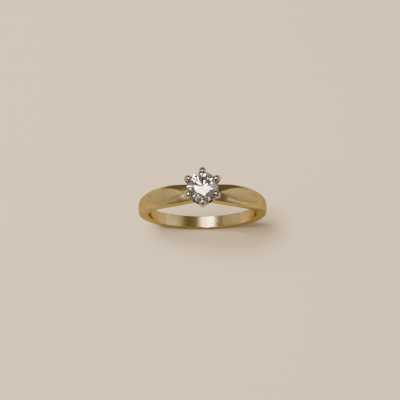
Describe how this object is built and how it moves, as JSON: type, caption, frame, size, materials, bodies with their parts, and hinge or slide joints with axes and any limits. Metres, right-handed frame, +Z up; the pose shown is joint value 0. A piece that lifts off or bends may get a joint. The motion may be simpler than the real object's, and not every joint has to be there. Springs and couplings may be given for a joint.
{
  "type": "solitaire engagement ring",
  "caption": "Solitaire engagement ring: yellow gold band with dished leaf shoulders, white gold claw head holding a round brilliant.",
  "frame": {"origin": "centre of the finger hole, half way across the band", "axes": "+Y along the finger hole, +Z up through the head and the stone, +X towards the right shoulder"},
  "size_m": [0.0202, 0.0064, 0.0237],
  "materials": {
    "yellow_gold": "polished, satin in the leaves",
    "white_gold": "polished",
    "diamond": "faceted and polished"
  },
  "bodies": {
    "root": {"hoop": "yellow_gold", "shoulder_left": "yellow_gold", "shoulder_right": "yellow_gold", "head_peg": "white_gold", "head_base": "white_gold", "lower_gallery_ring": "white_gold", "upper_gallery_ring": "white_gold", "claw_back": "white_gold", "claw_back_left": "white_gold", "claw_front_left": "white_gold", "claw_front": "white_gold", "claw_front_right": "white_gold", "claw_back_right": "white_gold", "diamond": "diamond"}
  },
  "joints": []
}
